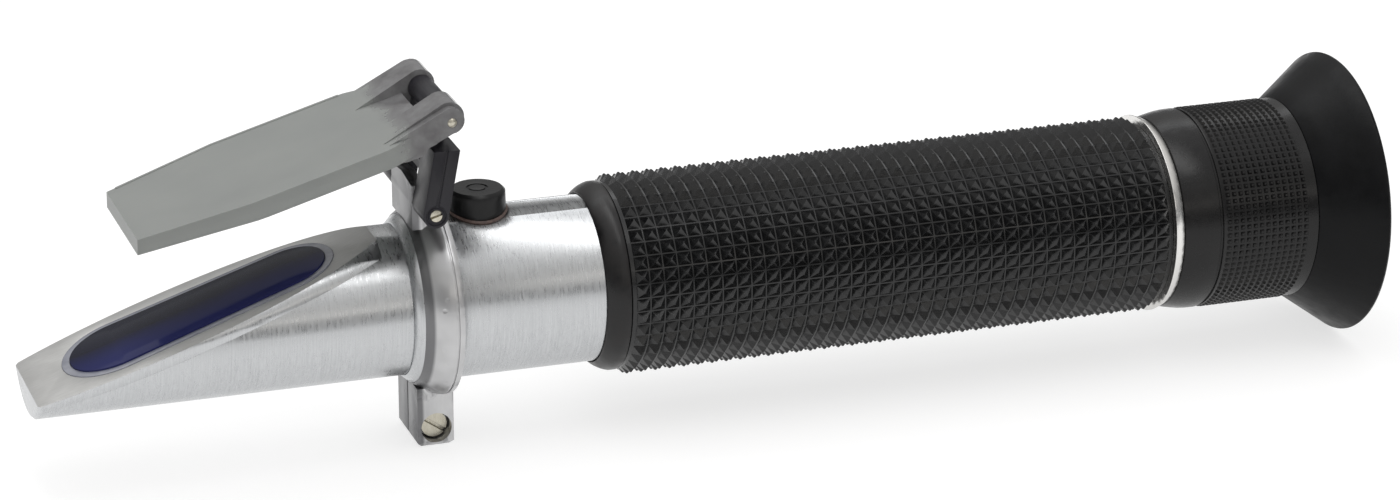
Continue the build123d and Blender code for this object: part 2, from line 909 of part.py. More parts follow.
flange_x = -flange_length
barrel_front_x = flange_x + mouth_depth - barrel_length
barrel_outer = end_ring_bore - cap_gap
lens_stop_x = barrel_front_x + lens_stop_offset
field_lens_x = lens_stop_x + lens_stop_length + fit_gap
retainer_rear_x = -mouth_depth - fit_gap
retainer_x = retainer_rear_x - retainer_length
eye_lens_x = retainer_x - fit_gap - eye_lens_length
spacer_x = field_lens_x + field_lens_length + fit_gap
lens_radius = barrel_bore - fit_gap


def eyepiece_barrel():
    """Sliding lens barrel with a rear flange, the eyepiece bore and a keyway."""
    barrel = turned(
        [
            (barrel_front_x, barrel_bore),
            (barrel_front_x, barrel_outer),
            (flange_x, barrel_outer),
            (flange_x, flange_radius),
            (0, flange_radius),
            (0, mouth_radius),
            (-mouth_depth, mouth_radius),
            (-mouth_depth, barrel_bore),
        ]
    )
    barrel += tube(barrel_bore + fit_gap, lens_stop_radius, lens_stop_x, lens_stop_x + lens_stop_length)
    key_front = guide_pin_x - keyway_length
    key_rear = guide_pin_x + 2 * guide_pin_radius
    half = guide_pin_radius + fit_gap
    floor = barrel_outer - keyway_depth - fit_gap
    return barrel - block(key_front, key_rear, -half, half, floor, 2 * barrel_outer)


def lens(radius, x0, length, bulge):
    """Biconvex lens on the optical axis, with spherical faces."""
    sphere = (radius**2 + bulge**2) / (2 * bulge)
    half_sag = sphere - math.sqrt(sphere**2 - (radius / 2) ** 2)
    x1 = x0 + length
    outline = [
        ThreePointArc((x0, 0, 0), (x0 + half_sag, 0, radius / 2), (x0 + bulge, 0, radius)),
        Line((x0 + bulge, 0, radius), (x1 - bulge, 0, radius)),
        ThreePointArc((x1 - bulge, 0, radius), (x1 - half_sag, 0, radius / 2), (x1, 0, 0)),
        Line((x1, 0, 0), (x0, 0, 0)),
    ]
    return revolve(make_face(outline), axis=Axis.X)


def field_lens():
    """Front lens of the eyepiece."""
    return lens(lens_radius, field_lens_x, field_lens_length, lens_bulge)


def eye_lens():
    """Rear lens of the eyepiece."""
    return lens(lens_radius, eye_lens_x, eye_lens_length, lens_bulge)


def lens_spacer():
    """Tube between the two eyepiece lenses."""
    return tube(lens_radius, lens_radius - spacer_wall, spacer_x, eye_lens_x - fit_gap)


def eye_lens_retainer():
    """Ring that holds the eye lens."""
    return tube(lens_radius, lens_stop_radius, retainer_x, retainer_rear_x)


def focus_ring():
    """Knurled ring that turns the eyepiece out and in."""
    groove_x = focus_front_x + focus_groove_offset
    groove_floor = focus_radius - focus_groove_depth
    lip_x = flange_x - fit_gap - focus_lip_length
    return Rot(ring_seam, 0, 0) * turned(
        [
            (focus_front_x, end_ring_tail_radius + cap_gap),
            (focus_front_x, focus_front_radius),
            (focus_front_x + focus_mid_offset, focus_mid_radius),
            (focus_front_x + focus_full_offset, focus_radius),
            (groove_x, focus_radius),
            (groove_x, groove_floor),
            (groove_x + focus_groove_width, groove_floor),
            (groove_x + focus_groove_width, focus_radius),
            (focus_rear_x, focus_radius),
            (focus_rear_x, flange_radius + cap_gap),
            (flange_x - fit_gap, flange_radius + cap_gap),
            (flange_x - fit_gap, barrel_outer + cap_gap),
            (lip_x, barrel_outer + cap_gap),
            (lip_x, end_ring_tail_radius + cap_gap),
        ]
    )


def eyecup():
    """Soft funnel with a rounded rim, seated on the focus ring's rear face."""
    cone_x = focus_rear_x + cup_length
    rim_x = cone_x + cup_rim_length
    base_x = focus_rear_x + cup_base_length
    bore = flange_radius + cup_base_gap
    rise = (foot_depth - focus_radius) / cup_length
    slant = cup_wall * math.sqrt(1 + rise**2)
    inner_base = focus_radius + rise * cup_base_length - slant
    rim_inner = foot_depth - slant
    outline = [
        Polyline(
            (focus_rear_x, 0, bore),
            (focus_rear_x, 0, focus_radius),
            (cone_x, 0, foot_depth),
        ),
        ThreePointArc(
            (cone_x, 0, foot_depth),
            (rim_x, 0, foot_depth - slant / 2),
            (cone_x, 0, rim_inner),
        ),
        Polyline(
            (cone_x, 0, rim_inner),
            (base_x, 0, inner_base),
            (base_x, 0, bore),
            (focus_rear_x, 0, bore),
        ),
    ]
    return Rot(ring_seam, 0, 0) * revolve(make_face(outline), axis=Axis.X)


sleeve_x = spigot_x + fit_gap
sleeve_outer = main_bore - sleeve_gap
sleeve_inner = sleeve_outer - sleeve_wall
sleeve_rear_x = barrel_front_x + sleeve_lap
reticle_x = sleeve_rear_x - reticle_inset
strip_x = cap_x - strip_front_margin
post_x = cap_x + post_offset
cell_x = strip_x + strip_length - cell_length
objective_x = cell_x + (cell_length - objective_thickness) / 2


def optical_sleeve():
    """Inner tube that carries the optics, drilled for the calibration bush."""
    sleeve = tube(sleeve_outer, sleeve_inner, sleeve_x, sleeve_rear_x)
    return sleeve - upright(bush_radius + fit_gap, cap_x, 0, 2 * main_radius)


def bimetal_strip():
    """Compensator strip that carries the objective cell."""
    half = strip_width / 2
    return block(strip_x, strip_x + strip_length, -half, half, strip_height, strip_height + strip_thickness)


def compensator_post():
    """Post on the sleeve's wall that holds the strip."""
    half = strip_width / 2
    post = block(
        post_x,
        post_x + post_length,
        -half,
        half,
        strip_height + strip_thickness,
        main_radius,
    )
    return post & rod(sleeve_inner - fit_gap, post_x - 1, post_x + post_length + 1)


def objective_cell():
    """Lens cell under the strip's free end, with a flat top."""
    cell = tube(cell_radius, objective_radius + fit_gap, cell_x, cell_x + cell_length)
    flat = strip_height
    return cell - block(cell_x - 1, cell_x + cell_length + 1, -cell_radius, cell_radius, flat, 2 * cell_radius)


def objective_lens():
    """Objective that images the light boundary on the scale."""
    return lens(objective_radius, objective_x, objective_thickness, objective_bulge)


def reticle():
    """Scale glass."""
    return rod(sleeve_inner - fit_gap, reticle_x, reticle_x + reticle_thickness)


def reticle_retainer():
    """Ring behind the scale glass."""
    x0 = reticle_x + reticle_thickness + fit_gap
    return tube(sleeve_inner - fit_gap, sleeve_inner - ring_wall, x0, x0 + ring_length)


pieces = {
    "front_tube": front_tube,
    "prism_frame": prism_frame,
    "prism_seal": prism_seal,
    "prism": prism,
    "prism_cradle": prism_cradle,
    "main_tube": main_tube,
    "hinge_collar": hinge_collar,
    "clamp_screw": clamp_screw,
    "hinge_link": hinge_link,
    "link_pin": link_pin,
    "plate_pin": plate_pin,
    "daylight_plate": daylight_plate,
    "calibration_cap": calibration_cap,
    "calibration_bush": calibration_bush,
    "calibration_screw": calibration_screw,
    "grip_ring": grip_ring,
    "grip_sleeve": grip_sleeve,
    "tube_end_ring": tube_end_ring,
    "guide_pin": guide_pin,
    "o_ring": o_ring,
    "eyepiece_barrel": eyepiece_barrel,
    "field_lens": field_lens,
    "lens_spacer": lens_spacer,
    "eye_lens": eye_lens,
    "eye_lens_retainer": eye_lens_retainer,
    "focus_ring": focus_ring,
    "eyecup": eyecup,
    "optical_sleeve": optical_sleeve,
    "bimetal_strip": bimetal_strip,
    "compensator_post": compensator_post,
    "objective_cell": objective_cell,
    "objective_lens": objective_lens,
    "reticle": reticle,
    "reticle_retainer": reticle_retainer,
}

for name, make in pieces.items():
    piece = make()
    piece.label = name
    export_step(piece, f"parts/{name}.step")
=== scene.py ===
"""Looks of a handheld refractometer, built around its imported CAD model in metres."""

import json
import math

import bmesh
import bpy
from mathutils import Matrix, Vector


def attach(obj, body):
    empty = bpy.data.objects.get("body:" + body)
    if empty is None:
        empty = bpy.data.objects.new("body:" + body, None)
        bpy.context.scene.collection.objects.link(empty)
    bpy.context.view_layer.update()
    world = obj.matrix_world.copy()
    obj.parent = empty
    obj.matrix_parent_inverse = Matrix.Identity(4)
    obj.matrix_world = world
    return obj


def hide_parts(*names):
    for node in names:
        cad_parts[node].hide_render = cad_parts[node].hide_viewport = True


MM = 0.001

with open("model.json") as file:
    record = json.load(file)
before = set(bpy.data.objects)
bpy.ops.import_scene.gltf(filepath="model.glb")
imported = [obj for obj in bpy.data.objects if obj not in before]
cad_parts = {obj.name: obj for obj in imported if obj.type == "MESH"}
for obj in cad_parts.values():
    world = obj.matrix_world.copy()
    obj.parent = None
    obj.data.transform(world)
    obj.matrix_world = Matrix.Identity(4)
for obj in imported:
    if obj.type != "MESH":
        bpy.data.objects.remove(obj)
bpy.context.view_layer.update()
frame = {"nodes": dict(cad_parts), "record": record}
nodes = frame["nodes"]
record = frame["record"]


def by_name(rows, name):
    """The row of one of the record's lists that has a name."""
    return next(row for row in rows if row["name"] == name)


# Camera: its place in metres, and the direction from the object back to it

CAMERA_PLACE = Vector((-0.29695, -0.61364, 0.24161))
CAMERA_BACK = Vector((-0.29649, -0.88967, 0.34725))
CAMERA_LENS = 121.67
SENSOR_WIDTH = 36.0
CLIP_START = 0.01
CLIP_END = 20.0


def make_camera():
    """Camera at the photograph's angle and distance."""
    data = bpy.data.cameras.new("camera")
    data.lens = CAMERA_LENS
    data.sensor_fit = "HORIZONTAL"
    data.sensor_width = SENSOR_WIDTH
    data.clip_start = CLIP_START
    data.clip_end = CLIP_END
    camera = bpy.data.objects.new("camera", data)
    back = CAMERA_BACK.normalized()
    right = Vector((0, 0, 1)).cross(back).normalized()
    up = back.cross(right)
    turn = Matrix((right, up, back)).transposed().to_4x4()
    camera.matrix_world = Matrix.Translation(CAMERA_PLACE) @ turn
    bpy.context.scene.collection.objects.link(camera)
    bpy.context.scene.camera = camera


# Lamps: name, place, width and height in metres, radiance and colour

LAMP_TARGET = Vector((-0.09, 0, 0))
LAMPS = [
    ("key", (-0.14, -0.02, 0.66), 0.80, 0.20, 2.4, (1.0, 0.995, 0.985)),
    ("front", (0.05, -0.75, 0.30), 0.90, 0.14, 0.9, (1.0, 0.96, 0.90)),
    ("rim", (-0.10, 0.46, 0.56), 0.90, 0.16, 1.2, (0.96, 0.98, 1.0)),
]


def area_light(name, place, width, height, radiance, colour):
    """Soft rectangular lamp that faces the object."""
    data = bpy.data.lights.new(name, "AREA")
    data.shape = "RECTANGLE"
    data.size = width
    data.size_y = height
    data.energy = radiance * math.pi * width * height
    data.color = colour
    lamp = bpy.data.objects.new(name, data)
    lamp.location = place
    toward = LAMP_TARGET - Vector(place)
    lamp.rotation_euler = toward.to_track_quat("-Z", "Y").to_euler()
    bpy.context.scene.collection.objects.link(lamp)


# World and floor

WHITE = (1, 1, 1, 1)

# Room around the object, from straight below at 0 over the horizon at 0.5 to straight above at 1
ROOM_COLOURS = [
    (0.0, (0.60, 0.61, 0.63)),
    (0.38, (0.50, 0.51, 0.53)),
    (0.50, (0.22, 0.225, 0.23)),
    (0.60, (0.30, 0.30, 0.30)),
    (0.70, (0.44, 0.435, 0.43)),
    (0.80, (0.72, 0.715, 0.70)),
    (1.0, (0.90, 0.90, 0.91)),
]

FLOOR_Z = by_name(record["mounts"], "foot")["pos_m"][2]
FLOOR_REACH = 3.0
FLOOR_PLAIN = (0.80, 0.80, 0.80, 1)

# Where the floor is seen, its lit part keeps the shadow and its glow brings it to white
FLOOR_LIT = (0.42, 0.42, 0.42, 1)
FLOOR_GLOW = 0.70

# Corners of a square of half width 1, in turn
SQUARE = ((-1, -1), (1, -1), (1, 1), (-1, 1))


def new_object(name, verts, faces):
    """Object with a new mesh, in the scene."""
    mesh = bpy.data.meshes.new(name)
    mesh.from_pydata(verts, [], faces)
    obj = bpy.data.objects.new(name, mesh)
    bpy.context.scene.collection.objects.link(obj)
    return obj


def fill_ramp(ramp, stops):
    """Sets a colour ramp's stops from (place, colour) pairs."""
    elements = ramp.color_ramp.elements
    while len(elements) > 1:
        elements.remove(elements[-1])
    for index, (place, colour) in enumerate(stops):
        element = elements[0] if index == 0 else elements.new(place)
        element.position = place
        element.color = (*colour, 1.0)


def kinds_of_ray(tree, *kinds):
    """Socket that is 1 for the named kinds of ray and 0 for all others."""
    path = tree.nodes.new("ShaderNodeLightPath")
    chosen = path.outputs[kinds[0]]
    for kind in kinds[1:]:
        either = tree.nodes.new("ShaderNodeMath")
        either.operation = "MAXIMUM"
        tree.links.new(chosen, either.inputs[0])
        tree.links.new(path.outputs[kind], either.inputs[1])
        chosen = either.outputs[0]
    return chosen


def show(tree, output, chosen, usual, special):
    """Ends a tree with its usual shader, and a special one where the chosen socket is 1."""
    mix = tree.nodes.new("ShaderNodeMixShader")
    tree.links.new(chosen, mix.inputs["Fac"])
    tree.links.new(usual.outputs[0], mix.inputs[1])
    tree.links.new(special.outputs[0], mix.inputs[2])
    tree.links.new(mix.outputs[0], tree.nodes.new(output).inputs["Surface"])


def make_world():
    """White to the camera and through glass, and a soft room with a paler ceiling otherwise."""
    world = bpy.data.worlds.new("studio")
    bpy.context.scene.world = world
    world.use_nodes = True
    tree = world.node_tree
    tree.nodes.clear()
    coordinate = tree.nodes.new("ShaderNodeTexCoord")
    split = tree.nodes.new("ShaderNodeSeparateXYZ")
    height = tree.nodes.new("ShaderNodeMapRange")
    height.inputs["From Min"].default_value = -1.0
    height.inputs["From Max"].default_value = 1.0
    ramp = tree.nodes.new("ShaderNodeValToRGB")
    fill_ramp(ramp, ROOM_COLOURS)
    room = tree.nodes.new("ShaderNodeBackground")
    tree.links.new(coordinate.outputs["Generated"], split.inputs[0])
    tree.links.new(split.outputs["Z"], height.inputs["Value"])
    tree.links.new(height.outputs["Result"], ramp.inputs["Fac"])
    tree.links.new(ramp.outputs["Color"], room.inputs["Color"])
    white = tree.nodes.new("ShaderNodeBackground")
    white.inputs["Color"].default_value = WHITE
    seen = kinds_of_ray(tree, "Is Camera Ray", "Is Transmission Ray")
    show(tree, "ShaderNodeOutputWorld", seen, room, white)


def floor_material():
    """White to the camera, through glass and in reflections, and plain to all other rays."""
    material = bpy.data.materials.new("floor_white")
    material.use_nodes = True
    tree = material.node_tree
    tree.nodes.clear()
    plain = tree.nodes.new("ShaderNodeBsdfDiffuse")
    plain.inputs["Color"].default_value = FLOOR_PLAIN
    lit = tree.nodes.new("ShaderNodeBsdfDiffuse")
    lit.inputs["Color"].default_value = FLOOR_LIT
    glow = tree.nodes.new("ShaderNodeEmission")
    glow.inputs["Color"].default_value = WHITE
    glow.inputs["Strength"].default_value = FLOOR_GLOW
    white = tree.nodes.new("ShaderNodeAddShader")
    tree.links.new(lit.outputs[0], white.inputs[0])
    tree.links.new(glow.outputs[0], white.inputs[1])
    seen = kinds_of_ray(tree, "Is Camera Ray", "Is Transmission Ray", "Is Glossy Ray")
    show(tree, "ShaderNodeOutputMaterial", seen, plain, white)
    return material


def make_floor():
    """White floor that keeps the object's soft shadow."""
    corners = [(x * FLOOR_REACH, y * FLOOR_REACH, FLOOR_Z) for x, y in SQUARE]
    floor = new_object("floor", corners, [(0, 1, 2, 3)])
    floor.data.materials.append(floor_material())


# Materials

# Noise seldom leaves this stretch, so it is drawn out to a whole range
NOISE_LOW = 0.3
NOISE_HIGH = 0.7

# Two noises that share a value stay in a narrower one
PAIR_LOW = 0.35
PAIR_HIGH = 0.65

# The collar's front faces get painted shade, darker than its crown, up to these places along the
# axis
COLLAR_SHADE_FULL = -136.2 * MM
COLLAR_SHADE_END = -135.8 * MM

# Stretch along the axis where the frosted plate turns to clear ears, which are painted darker for
# the black link seen through them
CLEAR_FROM = -140.5 * MM
CLEAR_FULL = -138.2 * MM
CLEAR_WANDER = 1.2 * MM

# Stretch across the prism of its painted reflection, from a bluer near side to a darker far side
REFLECTION_BLUE_SIDE = -4.5 * MM
REFLECTION_DARK_SIDE = 3.5 * MM


class Look:
    """A node material with one Principled surface and coordinates in millimetres."""

    def __init__(self, name, **sockets):
        """Sockets are the surface's plain values, with underscores for the spaces in names."""
        self.name = name
        self.material = bpy.data.materials.new(name)
        self.material.use_nodes = True
        self.tree = self.material.node_tree
        self.surface = self.tree.nodes["Principled BSDF"]
        for key, value in sockets.items():
            self.surface.inputs[key.replace("_", " ")].default_value = value
        self.place = self.tree.nodes.new("ShaderNodeTexCoord").outputs["Object"]

    def link(self, source, target):
        """Joins an output socket to an input socket."""
        self.tree.links.new(source, target)

    def mapped(self, scale):
        """Object coordinates in millimetres, times one scale or one for each axis."""
        if not isinstance(scale, tuple):
            scale = (scale, scale, scale)
        mapping = self.tree.nodes.new("ShaderNodeMapping")
        mapping.inputs["Scale"].default_value = [s / MM for s in scale]
        self.link(self.place, mapping.inputs["Vector"])
        return mapping.outputs["Vector"]

    def noise(self, scale, detail=2.0, roughness=0.5, distortion=0.0):
        """Noise from 0 to 1, with a number of cells per millimetre."""
        texture = self.tree.nodes.new("ShaderNodeTexNoise")
        texture.inputs["Scale"].default_value = 1.0
        texture.inputs["Detail"].default_value = detail
        texture.inputs["Roughness"].default_value = roughness
        texture.inputs["Distortion"].default_value = distortion
        self.link(self.mapped(scale), texture.inputs["Vector"])
        return texture.outputs["Fac"]

    def cells(self, scale):
        """Distance from the nearest point of a scattered pattern."""
        texture = self.tree.nodes.new("ShaderNodeTexVoronoi")
        texture.inputs["Scale"].default_value = 1.0
        self.link(self.mapped(scale), texture.inputs["Vector"])
        return texture.outputs["Distance"]

    def axis(self, name):
        """One object coordinate, in metres."""
        split = self.tree.nodes.new("ShaderNodeSeparateXYZ")
        self.link(self.place, split.inputs[0])
        return split.outputs[name]

    def math(self, operation, *values):
        """Sum, product or the like of sockets and plain numbers."""
        made = self.tree.nodes.new("ShaderNodeMath")
        made.operation = operation
        for slot, value in enumerate(values):
            if isinstance(value, (int, float)):
                made.inputs[slot].default_value = value
            else:
                self.link(value, made.inputs[slot])
        return made.outputs[0]

    def share(self, first, part, second):
        """A part of one value and the rest of another."""
        rest = self.math("MULTIPLY", second, 1 - part)
        return self.math("ADD", self.math("MULTIPLY", first, part), rest)

    def span(self, value, low, high, to_low=0.0, to_high=1.0):
        """A value's stretch from low to high, drawn out to a new stretch and clamped."""
        made = self.tree.nodes.new("ShaderNodeMapRange")
        made.inputs["From Min"].default_value = low
        made.inputs["From Max"].default_value = high
        made.inputs["To Min"].default_value = to_low
        made.inputs["To Max"].default_value = to_high
        self.link(value, made.inputs["Value"])
        return made.outputs["Result"]

    def vary(self, noise, low=0.0, high=1.0):
        """Noise drawn out to a stretch of values."""
        return self.span(noise, NOISE_LOW, NOISE_HIGH, low, high)

    def colours(self, factor, *stops):
        """Colour ramp through (place, colour) stops."""
        ramp = self.tree.nodes.new("ShaderNodeValToRGB")
        fill_ramp(ramp, stops)
        self.link(factor, ramp.inputs["Fac"])
        return ramp.outputs["Color"]

    def mottled(self, noise, dark, light):
        """Colour that follows noise from a dark tone to a light one."""
        return self.colours(noise, (NOISE_LOW, dark), (NOISE_HIGH, light))

    def blend(self, factor, first, second):
        """Mix of two colours, each a socket or a plain colour."""
        mix = self.tree.nodes.new("ShaderNodeMix")
        mix.data_type = "RGBA"
        self.link(factor, mix.inputs[0])
        for slot, value in ((6, first), (7, second)):
            if isinstance(value, tuple):
                mix.inputs[slot].default_value = (*value, 1)
            else:
                self.link(value, mix.inputs[slot])
        return mix.outputs[2]

    def colour(self, source):
        """Gives the surface its colour."""
        self.link(source, self.surface.inputs["Base Color"])

    def roughness(self, source):
        """Gives the surface its roughness."""
        self.link(source, self.surface.inputs["Roughness"])

    def bump(self, *layers):
        """Layers of (height socket, depth in millimetres), stacked."""
        normal = None
        for height, depth in layers:
            bump = self.tree.nodes.new("ShaderNodeBump")
            bump.inputs["Strength"].default_value = 1.0
            bump.inputs["Distance"].default_value = depth * MM
            self.link(height, bump.inputs["Height"])
            if normal is not None:
                self.link(normal, bump.inputs["Normal"])
            normal = bump.outputs["Normal"]
        self.link(normal, self.surface.inputs["Normal"])


def turned_metal(name, light, dark, roughness, streak=5.0):
    """Satin turned metal with fine lines around the optical axis."""
    look = Look(name, Metallic=1.0)
    lines = look.noise((streak, 0.10, 0.10), detail=3.0, roughness=0.65)
    streaks = look.noise((streak * 0.8, 0.7, 0.7), roughness=0.6)
    patches = look.noise((0.12, 0.10, 0.10))
    shade = look.span(look.share(lines, 0.5, streaks), PAIR_LOW, PAIR_HIGH)
    tone = look.colours(shade, (0.0, dark), (1.0, light))
    worn = tuple(0.9 * channel for channel in light)
    look.colour(look.blend(look.span(patches, 0.35, 0.7, 0.0, 0.35), tone, worn))
    look.roughness(look.vary(streaks, roughness - 0.06, roughness + 0.08))
    look.bump((lines, 0.007), (streaks, 0.005))
    return look


def face_metal():
    """Matt ground metal of the slanted face, with faint lines along it."""
    look = Look("face_metal", Metallic=0.4)
    grind = look.noise((0.5, 6.0, 0.5), detail=3.0, roughness=0.6)
    cloud = look.noise((0.15, 0.2, 0.15))
    grain = look.span(look.share(grind, 0.6, cloud), PAIR_LOW, PAIR_HIGH)
    look.colour(look.colours(grain, (0.0, (0.49, 0.488, 0.478)), (1.0, (0.60, 0.598, 0.588))))
    look.roughness(look.vary(grind, 0.42, 0.52))
    look.bump((grind, 0.006))
    return look


def seal_lip():
    """Milky grey lip around the prism."""
    look = Look("seal_lip", Roughness=0.24, Coat_Weight=0.4, Coat_Roughness=0.1)
    milk = look.noise(0.4)
    look.colour(look.colours(look.vary(milk), (0.0, (0.23, 0.24, 0.29)), (1.0, (0.32, 0.33, 0.38))))
    look.bump((milk, 0.01))
    return look


def prism_glass():
    """Polished dark glass, with a painted reflection that makes it bluer towards its near side."""
    look = Look("prism_glass", Specular_IOR_Level=0.07)
    haze = look.noise((0.08, 0.12, 0.08))
    # Painted reflection: the colour runs from blue on the near side to near black on the far side
    across = look.span(look.axis("Y"), REFLECTION_BLUE_SIDE, REFLECTION_DARK_SIDE)
    depth = look.math("ADD", across, look.vary(haze, -0.12, 0.12))
    reflected_blue = (0.026, 0.030, 0.118)
    middle = (0.020, 0.023, 0.080)
    dark = (0.015, 0.016, 0.030)
    look.colour(look.colours(depth, (0.0, reflected_blue), (0.45, middle), (0.8, dark)))
    look.roughness(look.vary(haze, 0.08, 0.14))
    return look


def cast_zinc():
    """Rough die casting with wormy patches and pits, and painted shade on its front faces."""
    look = Look("cast_zinc", Metallic=0.9)
    lumps = look.noise(0.22)
    worms = look.noise(0.9, detail=3.0, roughness=0.6, distortion=1.2)
    patch = look.span(look.noise(0.11, detail=1.0), 0.55, 0.64)
    wormy = look.math("MULTIPLY", worms, patch)
    pits = look.span(look.cells(0.35), 0.06, 0.14)
    tone = look.colours(look.vary(lumps), (0.0, (0.48, 0.48, 0.485)), (1.0, (0.60, 0.60, 0.605)))
    tone = look.blend(look.span(wormy, 0.35, 0.6, 0.0, 0.55), tone, (0.16, 0.16, 0.165))
    # Painted shade: the collar's front faces are blended towards a dark grey by their place along
    # the axis
    front = look.span(look.axis("X"), COLLAR_SHADE_FULL, COLLAR_SHADE_END, 0.8, 0.0)
    look.colour(look.blend(front, tone, (0.10, 0.10, 0.105)))
    look.roughness(look.vary(lumps, 0.28, 0.38))
    look.bump((lumps, 0.05), (wormy, 0.12), (pits, 0.03))
    return look


def bush_brown():
    """Dull brown of the thin ring under the calibration cap."""
    look = Look("bush_brown", Roughness=0.4)
    grain = look.noise(1.5)
    look.colour(look.mottled(grain, (0.06, 0.04, 0.035), (0.15, 0.10, 0.085)))
    look.bump((grain, 0.02))
    return look


def black_satin():
    """Smooth black ring with smeared sheen."""
    look = Look("black_satin", Specular_IOR_Level=0.4)
    smear = look.noise((0.25, 0.5, 0.5), detail=4.0, roughness=0.6)
    fine = look.noise(3.0)
    look.colour(look.mottled(smear, (0.004, 0.004, 0.0045), (0.011, 0.009, 0.009)))
    look.roughness(look.vary(smear, 0.26, 0.44))
    look.bump((fine, 0.006))
    return look


def rubber(name, dark, light, roughness, specular):
    """Moulded black rubber with soft mottling and a fine skin."""
    look = Look(name, Specular_IOR_Level=specular)
    mottle = look.noise(0.35, detail=4.0, roughness=0.65)
    skin = look.noise(5.0, detail=3.0)
    look.colour(look.colours(mottle, (0.32, dark), (0.68, light)))
    look.roughness(look.vary(mottle, roughness - 0.07, roughness + 0.08))
    look.bump((mottle, 0.03), (skin, 0.010))
    return look


def link_black():
    """Satin black of the moulded hinge link."""
    look = Look("link_black", Specular_IOR_Level=0.4)
    fine = look.noise(2.5, detail=3.0)
    cloud = look.noise(0.3)
    look.colour(look.mottled(cloud, (0.008, 0.007, 0.011), (0.014, 0.013, 0.019)))
    look.roughness(look.vary(cloud, 0.36, 0.5))
    look.bump((fine, 0.010))
    return look


def frosted_plastic():
    """Frosted cover plate, clear at its ears, with painted shade there for the black link seen
    through them.
    """
    look = Look("frosted_plastic", Transmission_Weight=0.22, IOR=1.45)
    cloud = look.noise(0.08, detail=3.0, roughness=0.6)
    fine = look.noise(4.0)
    wisp = look.noise(0.35, detail=3.0, roughness=0.6)
    edge = look.math("ADD", look.axis("X"), look.vary(wisp, -CLEAR_WANDER, CLEAR_WANDER))
    clear = look.span(edge, CLEAR_FROM, CLEAR_FULL)
    frost = look.mottled(cloud, (0.335, 0.350, 0.340), (0.365, 0.380, 0.365))
    # Painted shade: the clear ears are coloured a darker grey that stands in for the black link
    # seen through them
    see_through_shade = look.mottled(wisp, (0.16, 0.155, 0.16), (0.27, 0.27, 0.275))
    look.colour(look.blend(clear, frost, see_through_shade))
    look.roughness(look.span(clear, 0.0, 1.0, 0.38, 0.10))
    look.bump((fine, 0.003))
    return look


def lens_glass():
    """Polished clear glass."""
    clear = (0.95, 0.97, 0.98, 1)
    look = Look("lens_glass", Base_Color=clear, Roughness=0.02, Transmission_Weight=1.0, IOR=1.52)
    look.bump((look.noise(0.2), 0.0005))
    return look


def make_materials():
    """The material of every slot of the record, by the slot's name."""
    looks = [
        turned_metal("satin_aluminium", (0.60, 0.61, 0.62), (0.48, 0.49, 0.50), 0.30),
        turned_metal("bright_metal", (0.80, 0.79, 0.77), (0.72, 0.71, 0.69), 0.20, streak=3.0),
        turned_metal("dark_metal", (0.035, 0.035, 0.038), (0.02, 0.02, 0.022), 0.45),
        turned_metal("screw_brass", (0.62, 0.59, 0.50), (0.45, 0.42, 0.34), 0.30, streak=3.0),
        face_metal(),
        seal_lip(),
        prism_glass(),
        cast_zinc(),
        bush_brown(),
        black_satin(),
        rubber("grip_rubber", (0.0030, 0.0031, 0.0035), (0.0065, 0.0068, 0.0075), 0.24, 0.55),
        rubber("soft_black", (0.0022, 0.0023, 0.0028), (0.0040, 0.0042, 0.0050), 0.36, 0.16),
        rubber("cap_rubber", (0.0035, 0.0035, 0.0038), (0.0065, 0.0065, 0.0070), 0.34, 0.32),
        rubber("focus_black", (0.0035, 0.0033, 0.0035), (0.0070, 0.0065, 0.0068), 0.26, 0.34),
        link_black(),
        frosted_plastic(),
        lens_glass(),
    ]
    return {look.name: look.material for look in looks}


# Faces and edges of the CAD's pieces

# Width of the small round on each piece's edges, in millimetres
EDGE_ROUND = {
    "front_tube": 0.05,
    "prism_frame": 0.05,
    "prism_seal": 0.05,
    "prism": 0.10,
    "hinge_collar": 0.16,
    "link_pin": 0.08,
    "hinge_link": 0.10,
    "calibration_cap": 0.12,
    "grip_ring": 0.15,
    "tube_end_ring": 0.10,
    "eyecup": 0.15,
}
ROUND_ABOVE = math.radians(35)
SHARP_ABOVE = math.radians(28)
WELD_GAP = 0.003 * MM

# A face of the slanted plate lies in its slope when its normal keeps this much of the slope's
SAME_SLOPE = 0.9


def smooth(obj, sharp_above=SHARP_ABOVE):
    """Smooth shading with sharp edges above an angle."""
    obj.data.shade_smooth()
    obj.data.set_sharp_from_angle(angle=sharp_above)


def round_edges(obj, width):
    """Small round on every sharp edge, of a width in millimetres."""
    bevel = obj.modifiers.new("edge_round", "BEVEL")
    bevel.width = width * MM
    bevel.segments = 2
    bevel.limit_method = "ANGLE"
    bevel.angle_limit = ROUND_ABOVE
    bevel.use_clamp_overlap = True
    bevel.harden_normals = True


def dress(name, material):
    """Gives a CAD node its material, smooth faces and slightly rounded edges."""
    obj = nodes[name]
    obj.data.materials.clear()
    obj.data.materials.append(material)
    smooth(obj)
    weld = obj.modifiers.new("weld", "WELD")
    weld.merge_threshold = WELD_GAP
    if name in EDGE_ROUND:
        round_edges(obj, EDGE_ROUND[name])


def dress_face_plate(tube_metal):
    """Gives the face plate's rim the tube's metal, because it is a slice of the tube's side."""
    slope = Vector(by_name(record["mounts"], "measuring_face")["axis"])
    mesh = nodes["prism_frame"].data
    mesh.materials.append(tube_metal)
    for polygon in mesh.polygons:
        polygon.material_index = 0 if polygon.normal.dot(slope) > SAME_SLOPE else 1


# Solids made here: all their sizes and places are in millimetres until they become meshes


